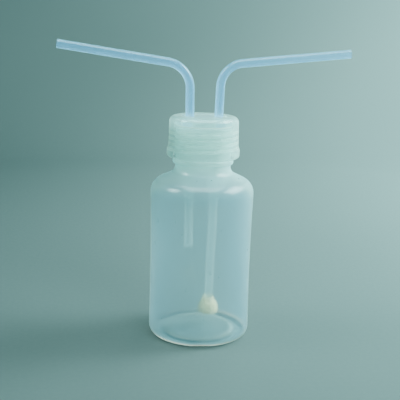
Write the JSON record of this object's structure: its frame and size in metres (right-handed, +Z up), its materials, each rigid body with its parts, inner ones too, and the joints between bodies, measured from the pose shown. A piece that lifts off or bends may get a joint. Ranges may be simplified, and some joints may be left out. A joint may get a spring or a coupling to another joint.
{
  "type": "gas washing bottle",
  "caption": "Translucent fluoropolymer gas washing bottle with a GL45 screw cap, bent inlet and outlet tubes, and a domed sparger on the long inlet tube.",
  "frame": {"origin": "centre of the bottle's base, on the surface it stands on", "axes": "+Z up the bottle's axis, +X along the inlet tube's arm, Y across the plane of the two arms"},
  "size_m": [0.2124, 0.0768, 0.2192],
  "materials": {
    "bottle_wall": "blow-moulded translucent PFA, soft gloss",
    "cap_wall": "moulded translucent PFA, slightly warm, soft gloss",
    "insert": "turned PTFE, satin",
    "seal": "PTFE, satin",
    "tube": "extruded translucent PFA, glossy",
    "sparger": "turned PTFE, satin, slightly cream",
    "frit": "porous sintered PTFE, matte"
  },
  "bodies": {
    "bottle_body": {"bottle": "bottle_wall"},
    "closure": {"port_insert": "insert", "neck_seal": "seal", "inlet_port_seal": "seal", "outlet_port_seal": "seal"},
    "cap": {"screw_cap": "cap_wall"},
    "inlet_line": {"inlet_tube": "tube", "sparger_dome": "sparger", "sparger_frit": "frit"},
    "outlet_line": {"outlet_tube": "tube"}
  },
  "joints": [
    {"name": "closure_lift", "type": "slide", "parent": "bottle_body", "child": "closure", "axis": [0, 0, 1], "range_m": [0, 0.017]},
    {"name": "cap_turn", "type": "hinge", "parent": "closure", "child": "cap", "pos_m": [0, 0, 0.1656], "axis": [0, 0, 1], "range_deg": [0, 1530]},
    {"name": "inlet_swivel", "type": "hinge", "parent": "closure", "child": "inlet_line", "pos_m": [0.01055, 0, 0.1616], "axis": [0.0253, 0, 0.9997], "range_deg": [-90, 90]},
    {"name": "outlet_swivel", "type": "hinge", "parent": "closure", "child": "outlet_line", "pos_m": [-0.01055, 0, 0.1616], "axis": [-0.014, 0, 0.9999], "range_deg": [-90, 90]}
  ],
  "couplings": [
    {"joint": "closure_lift", "follows": "cap_turn", "m_per_rad": 0.00063662}
  ]
}
